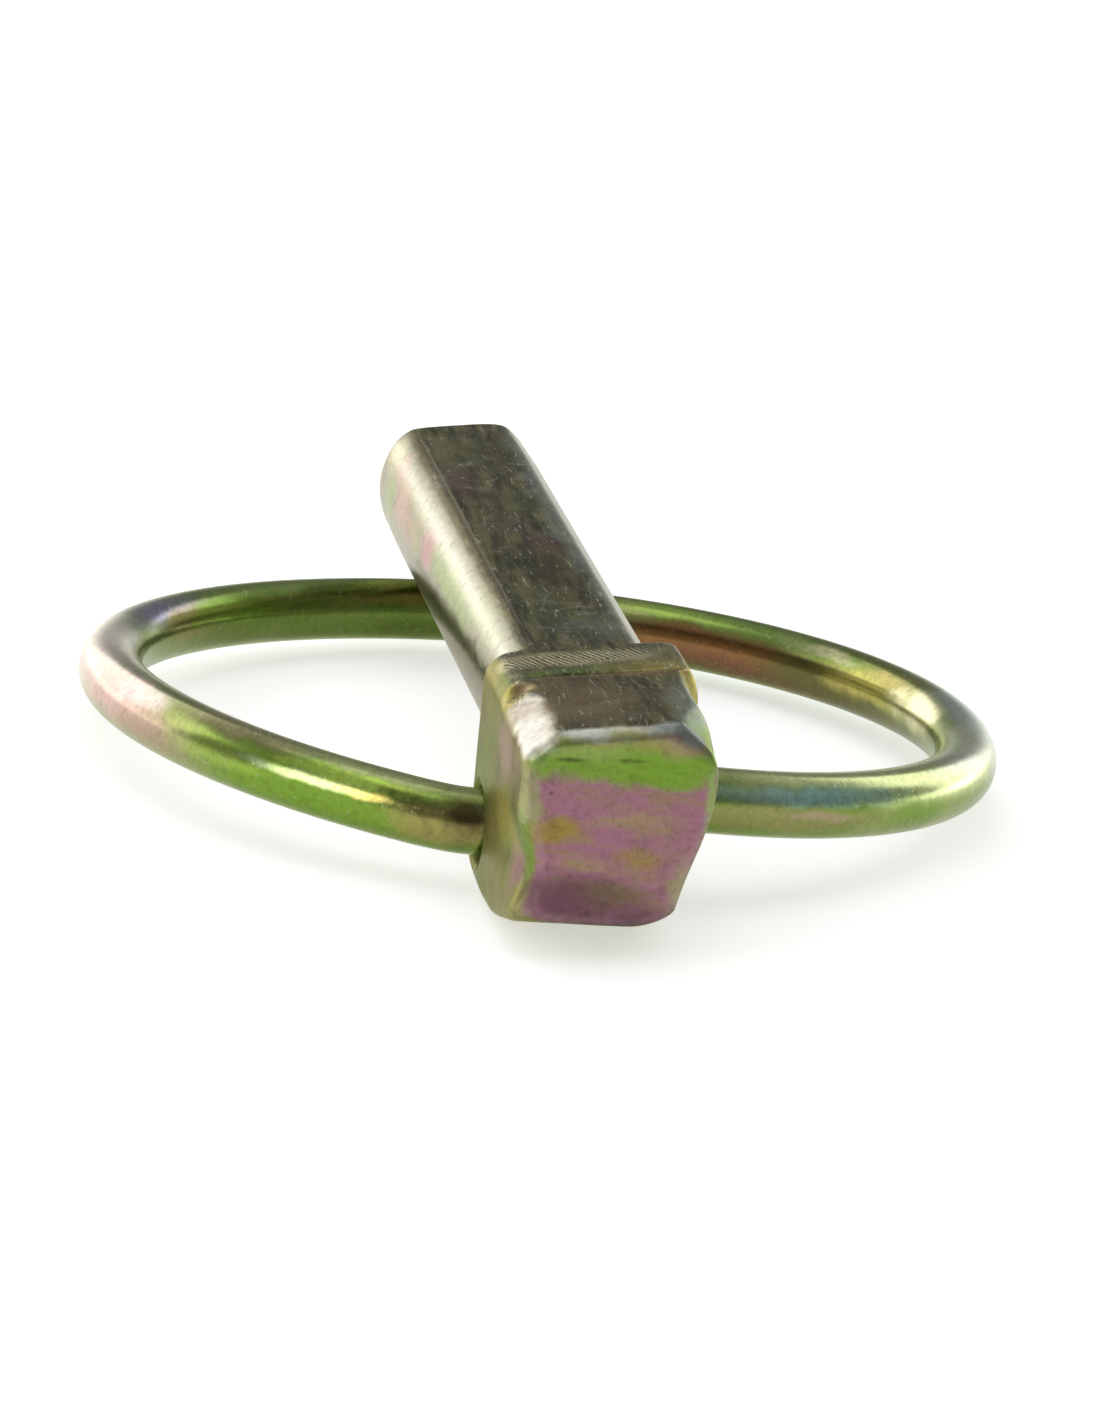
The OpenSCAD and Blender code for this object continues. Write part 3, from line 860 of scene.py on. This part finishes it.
RING_TINTS = (
    # Near left, from the hole out to the left-hand end.
    ("olive_gold", 0.9, (5.0, 0.0, 0.95), (3.8, 0.60, 0.7), 0.4),
    ("brown", 0.85, (3.7, 0.4, 0.9), (1.3, 0.5, 0.6), 0.5),
    ("green", 0.9, (14.0, -0.1, 0.95), (6.5, 0.8, 0.7), 0.5),
    ("spring_green", 0.8, (21.5, 0.32, 0.94), (4.5, 0.35, 0.5), 0.9),
    ("spring_green", 0.95, (10.0, 0.66, 0.75), (4.5, 0.22, 0.4), 0.5),
    ("dark_olive", 0.5, (6.5, 0.98, 0.2), (4.0, 0.25, 0.4), 0.6),
    # These two paint the yellow-white highlight on the near left.
    ("pale_lime", 0.8, (12.5, 0.35, 0.93), (3.6, 0.14, 0.4), 0.5),
    ("bright_gold", 0.95, (9.0, 0.35, 0.93), (1.4, 0.14, 0.4), 0.5),
    ("pale_lime", 0.6, (13.0, 1.0, 0.1), (12.0, 0.22, 0.5), 0.5),
    ("silver", 0.3, (17.0, 0.36, 0.93), (1.5, 0.12, 0.4), 0.6),
    ("pink", 0.85, (27.0, 0.1, 0.95), (4.8, 0.7, 0.7), 0.9),
    ("soft_pink", 0.9, (33.0, 0.2, 0.95), (5.4, 0.6, 0.8), 0.8),
    # The pale and pale pink patches up to the left-hand end paint its broad highlight, tinted pink by the
    # film.
    ("pale", 0.6, (30.0, 0.82, 0.56), (4.0, 0.3, 0.5), 0.7),
    ("bronze", 0.6, (19.5, 0.95, 0.30), (5.0, 0.25, 0.5), 0.7),
    ("pale_pink", 0.9, (29.5, 0.75, 0.66), (3.5, 0.4, 0.5), 0.5),
    ("pale", 0.95, (40.5, 0.7, 0.50), (7.5, 0.9, 1.2), 0.4),
    ("pale_pink", 0.55, (37.5, 0.55, 0.6), (6.5, 0.7, 0.9), 0.8),
    ("soft_pink", 0.7, (33.0, 0.4, 0.9), (4.0, 0.5, 0.6), 0.8),
    # Left-hand end, inside, and the far side up to the shaft.
    ("violet_grey", 0.95, (51.5, 0.9, -0.45), (4.5, 0.45, 0.6), 0.6),
    ("olive_gold", 0.8, (54.0, 0.4, -0.9), (3.0, 0.6, 0.6), 0.5),
    ("leaf", 0.6, (64.0, 0.97, -0.3), (9.0, 0.25, 0.6), 0.5),
    # Painted shade: dark green low on the inside, where the wire reflects the shadowed table.
    ("dark_green", 0.6, (67.0, -0.1, -0.98), (14.0, 0.8, 0.6), 0.4),
    ("green", 0.9, (59.0, 0.5, -0.87), (4.5, 0.35, 0.6), 0.5),
    ("leaf", 0.45, (58.5, 0.5, -0.87), (2.5, 0.25, 0.5), 0.6),
    ("rust", 0.4, (73.5, 0.7, -0.72), (5.0, 0.25, 0.5), 0.5),
    ("dark_green", 0.8, (69.5, 0.82, -0.58), (4.0, 0.22, 0.5), 0.5),
    # Painted shade, as above.
    ("dark_green", 0.5, (76.0, -0.5, -0.86), (4.0, 0.5, 0.5), 0.5),
    # Far side past the shaft, round to the right-hand end.
    ("spring_green", 0.6, (94.0, 0.90, -0.44), (4.0, 0.16, 0.4), 0.6),
    ("leaf", 0.6, (98.0, 0.85, -0.5), (6.0, 0.25, 0.5), 0.5),
    ("bright_rust", 0.9, (96.0, 0.10, -1.0), (8.0, 0.6, 0.6), 0.4),
    ("rust", 0.7, (102.0, -0.5, -0.85), (7.0, 0.4, 0.6), 0.5),
    ("dull_rust", 0.6, (97.0, -0.42, -0.90), (8.0, 0.35, 0.5), 0.6),
    ("dark_olive", 0.9, (106.0, 0.0, -1.0), (5.0, 0.6, 0.6), 0.5),
    # Painted highlight: bright gold where the far side's gold highlight lies.
    ("bright_gold", 0.6, (111.5, 0.28, -0.95), (4.5, 0.4, 0.7), 0.6),
    ("olive_gold", 0.8, (114.0, 0.78, -0.62), (3.5, 0.3, 0.5), 0.6),
    ("straw", 0.6, (106.0, 0.80, -0.60), (2.5, 0.15, 0.5), 0.6),
    ("dark_olive", 0.85, (111.5, -0.55, -0.84), (9.0, 0.45, 0.6), 0.5),
    # Painted highlight on the inner rim by the right-hand end.
    ("pale_straw", 0.95, (119.0, 0.5, -0.85), (3.5, 0.6, 0.8), 0.5),
    ("gold", 0.6, (112.5, 0.72, -0.69), (2.5, 0.15, 0.5), 0.6),
    ("teal_grey", 0.9, (122.0, 0.95, 0.2), (5.0, 0.4, 0.6), 0.4),
    # Right-hand end and the near right side, back to its hole.
    # The silver and pale lime patches here paint the right-hand end's highlights and the highlight line
    # along the near right's upper side.
    ("silver", 0.8, (127.5, 0.5, 0.8), (4.5, 0.8, 0.9), 0.5),
    ("teal_grey", 0.6, (126.5, 0.85, 0.50), (2.5, 0.3, 0.5), 0.6),
    ("pale_lime", 0.85, (139.5, 0.6, 0.75), (9.0, 0.5, 0.7), 0.5),
    ("silver", 0.8, (134.0, 0.88, 0.48), (5.0, 0.30, 0.5), 0.7),
    ("pale_lime", 0.9, (150.0, 0.95, 0.25), (9.0, 0.22, 0.6), 0.5),
    ("spring_green", 0.5, (146.5, 0.42, 0.91), (3.0, 0.2, 0.5), 0.5),
    ("green", 0.5, (142.5, -0.1, 1.0), (3.5, 0.3, 0.5), 0.6),
    ("teal", 0.9, (152.0, 0.5, 0.87), (5.5, 0.24, 0.5), 0.8),
    ("olive", 0.8, (155.0, -0.2, 0.98), (6.0, 0.4, 0.6), 0.5),
    ("pink", 0.4, (151.5, -0.1, 1.0), (2.0, 0.15, 0.5), 0.6),
)
colour = lay_tints(tree, ragged, colour, RING_TINTS)
RING_STAINS = (
    (0.58, (6.8, 0.60, 0.80), (2.4, 0.17, 0.4), 0.5),
    (0.30, (4.0, 0.2, 0.8), (1.4, 1.0, 1.0), 0.5),
    (0.25, (19.5, 0.30, 0.95), (2.0, 0.25, 0.4), 0.5),
)
darkening = lay_patches(tree, ragged, 0.0, RING_STAINS)
darkening = plus(tree, darkening, ramp(tree, mottle, 0.58, 0.85, 0.0, 0.30), clamp=True)
speckle = noise(tree, place, 2.4, 3.0, 0.7)["Fac"]
darkening = plus(tree, darkening, ramp(tree, speckle, 0.40, 0.75, 0.0, 0.24), clamp=True)
scratches = use_group(
    tree, scratch_tree, {"Place": place, "Stretch": (1.2, 1.2, 3.0), "Amount": 0.22}
)
colour = use_group(tree, wear_and_darkening_tree, {"Color": colour, "Bare": scratches["Mask"], "Darkening": darkening})["Color"]
tree.links.new(colour, shader.inputs["Base Color"])
wire_roughness = mix(tree, scratches["Mask"], WIRE_ROUGHNESS, SCRATCH_ROUGHNESS)
tree.links.new(wire_roughness, shader.inputs["Roughness"])
shader.inputs["Metallic"].default_value = 1.0
shader.inputs["Specular Tint"].default_value = (0.94, 0.94, 0.86, 1)
relief = times(tree, scratches["Height"], WIRE_RELIEF)
emboss(tree, shader, plus(tree, relief, times(tree, mottle, WIRE_RELIEF)))

drawing = spring_wire.modifiers.new("drawn_wire", "NODES")
drawing.node_group = drawn
sockets = {item.name: item.identifier for item in drawn.interface.items_tree if item.in_out == "INPUT"}
drawing[sockets["Wire Diameter"]] = WIRE_D * MM
drawing[sockets["Sides"]] = WIRE_SIDES
drawing[sockets["Finish"]] = ring_chromate
apply_modifiers(spring_wire)
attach(spring_wire, "ring")
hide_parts("spring_ring")

# ---------------------------------------------------------------------------
# Table, light and camera. A plain white table that shows as white and keeps the
# part's shadow, five softboxes round it, and a pale room.
TABLE_GLOW = 0.5
bpy.ops.mesh.primitive_plane_add(size=6, location=(0, 0, cad_box[0][2]))
table = bpy.context.object
table.name = "table"
table_white, tree, shader = new_finish("table_white")
shader.inputs["Base Color"].default_value = (0.9, 0.9, 0.9, 1)
shader.inputs["Roughness"].default_value = 0.9
shader.inputs["Emission Strength"].default_value = TABLE_GLOW
seen = put(tree, "ShaderNodeLightPath").outputs
straight = math_node(tree, "MAXIMUM", seen["Is Camera Ray"], seen["Is Glossy Ray"])
straight = math_node(tree, "MAXIMUM", straight, seen["Is Transmission Ray"])
glow = put(tree, "ShaderNodeCombineColor", {0: straight, 1: straight, 2: straight})
tree.links.new(glow.outputs["Color"], shader.inputs["Emission Color"])
table.data.materials.append(table_white)

LAMP_DISTANCE = 0.7


def softbox(name, bearing, rise, size, glow):
    """Lamp at a bearing, clockwise from the far side as seen from above, and a rise, in degrees.

    Its size is in metres, and its glow is how bright its face is.
    """
    bearing, rise = math.radians(bearing), math.radians(rise)
    way = Vector((math.sin(bearing) * math.cos(rise), math.cos(bearing) * math.cos(rise), math.sin(rise)))
    lamp = bpy.data.lights.new(name, "AREA")
    lamp.shape = "RECTANGLE"
    lamp.size, lamp.size_y = size
    lamp.energy = glow * math.pi * size[0] * size[1]
    box = bpy.data.objects.new(name, lamp)
    box.location = LAMP_DISTANCE * way
    box.rotation_euler = (-way).to_track_quat("-Z", "Y").to_euler()
    bpy.context.scene.collection.objects.link(box)


softbox("window", -41, 21, (0.82, 0.56), 1.5)
softbox("right_softbox", 48, 17, (0.38, 0.48), 1.8)
softbox("low_right_lamp", 64, 3, (0.40, 0.12), 2.0)
softbox("front_left_lamp", -117.5, 20, (0.34, 0.32), 3.0)
softbox("top_softbox", 0, 82, (0.5, 0.5), 0.8)

# The room's greys, each from its height up: pale below, darker round the sides.
ROOM_GREYS = ((0.06, 0.9), (0.16, 0.28), (0.45, 0.28), (0.75, 0.5))
world = bpy.data.worlds.new("studio")
bpy.context.scene.world = world
world.use_nodes = True
room = world.node_tree
height = put(room, "ShaderNodeSeparateXYZ", {0: put(room, "ShaderNodeTexCoord").outputs["Generated"]})
shade = put(room, "ShaderNodeValToRGB", {"Fac": height.outputs["Z"]})
fill_ramp(shade, [(place, (grey, grey, grey)) for place, grey in ROOM_GREYS])
room.links.new(shade.outputs["Color"], room.nodes["Background"].inputs["Color"])

# The camera looks down at the head from its front, a little to the left.
CAMERA_SPOT = Vector((-77.5, -425.3, 120.45)) * MM
CAMERA_AIM = Vector((-1.78, -0.37, 0.03)) * MM
CAMERA_ROLL = math.radians(5.68)
FOCAL_LENGTH = 191
SENSOR_WIDTH = 36
camera_data = bpy.data.cameras.new("camera")
camera_data.sensor_width = SENSOR_WIDTH
camera_data.lens = FOCAL_LENGTH
camera_data.clip_start = 0.01
camera_data.clip_end = 10
camera = bpy.data.objects.new("camera", camera_data)
bpy.context.scene.collection.objects.link(camera)
look = (CAMERA_AIM - CAMERA_SPOT).to_track_quat("-Z", "Y").to_matrix().to_4x4()
aimed = Matrix.Translation(CAMERA_SPOT) @ look
camera.matrix_world = aimed @ Matrix.Rotation(CAMERA_ROLL, 4, "Z")
bpy.context.scene.camera = camera
bpy.context.scene.view_settings.view_transform = "Standard"
